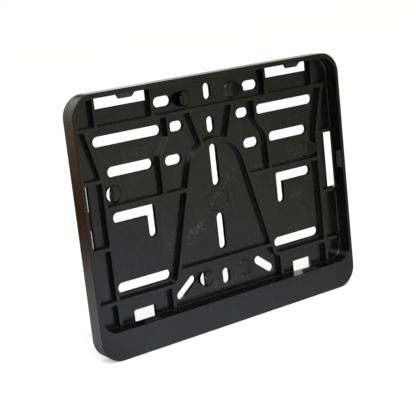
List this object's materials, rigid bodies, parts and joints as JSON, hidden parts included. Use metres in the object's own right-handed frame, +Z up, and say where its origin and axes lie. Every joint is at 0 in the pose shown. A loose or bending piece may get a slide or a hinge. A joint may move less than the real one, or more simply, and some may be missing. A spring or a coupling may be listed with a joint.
{
  "type": "number plate holder",
  "caption": "Moulded plastic number plate holder: ribbed back panel with fixing slots, raised rim with snap catches, and a plain hollow band below the plate.",
  "frame": {"origin": "on the rear face of the panel, at the middle of the frame", "axes": "+X to the right as seen from the front, +Y to the rear, +Z up"},
  "size_m": [0.1974, 0.0119, 0.1566],
  "materials": {
    "black_plastic": "fine moulded grain, satin"
  },
  "bodies": {
    "root": {"plate_holder": "black_plastic"}
  },
  "joints": []
}
